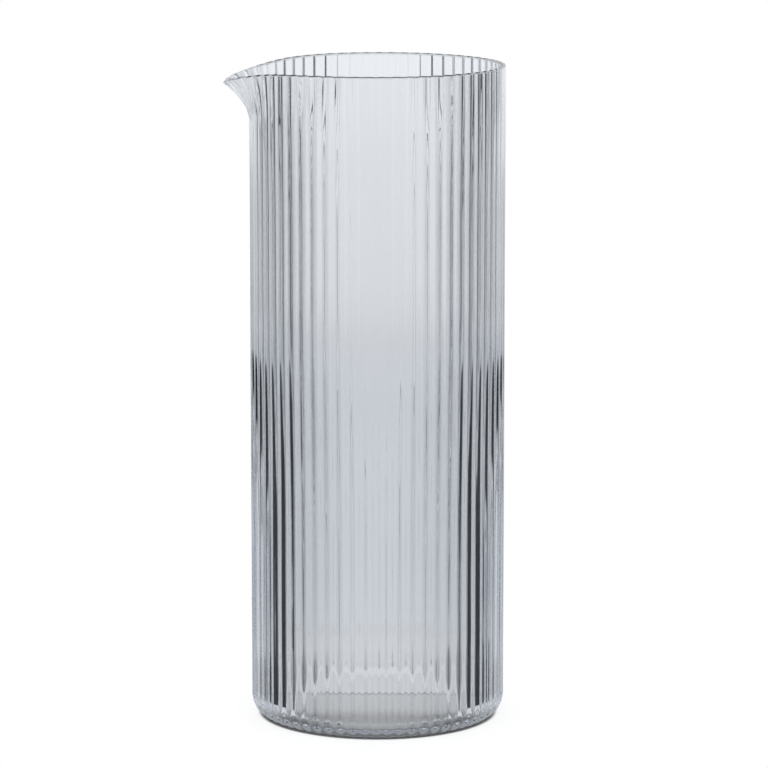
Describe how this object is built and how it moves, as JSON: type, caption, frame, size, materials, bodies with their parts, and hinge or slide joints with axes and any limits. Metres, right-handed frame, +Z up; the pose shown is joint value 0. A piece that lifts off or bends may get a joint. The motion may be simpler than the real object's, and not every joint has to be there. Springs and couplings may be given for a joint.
{
  "type": "carafe",
  "caption": "Straight cylindrical glass carafe with fine vertical ribs from heel to rim, a thick floor, a rounded heel and a small pulled pouring lip, for serving water or other drinks.",
  "frame": {"origin": "on the axis of the tube, in the flat underside of the base", "axes": "+Z up along the tube, -X out through the pouring lip, +Y to the right of someone who looks along -X"},
  "size_m": [0.1065, 0.0968, 0.25],
  "materials": {
    "base_glass": "clear, faint grey-blue, smooth from the mould",
    "wall_glass": "clear, faint grey-blue, smooth from the mould",
    "lip_glass": "clear, faint grey-blue, fire-polished"
  },
  "bodies": {
    "root": {"base": "base_glass", "ribbed_wall": "wall_glass", "pouring_lip": "lip_glass"}
  },
  "joints": []
}
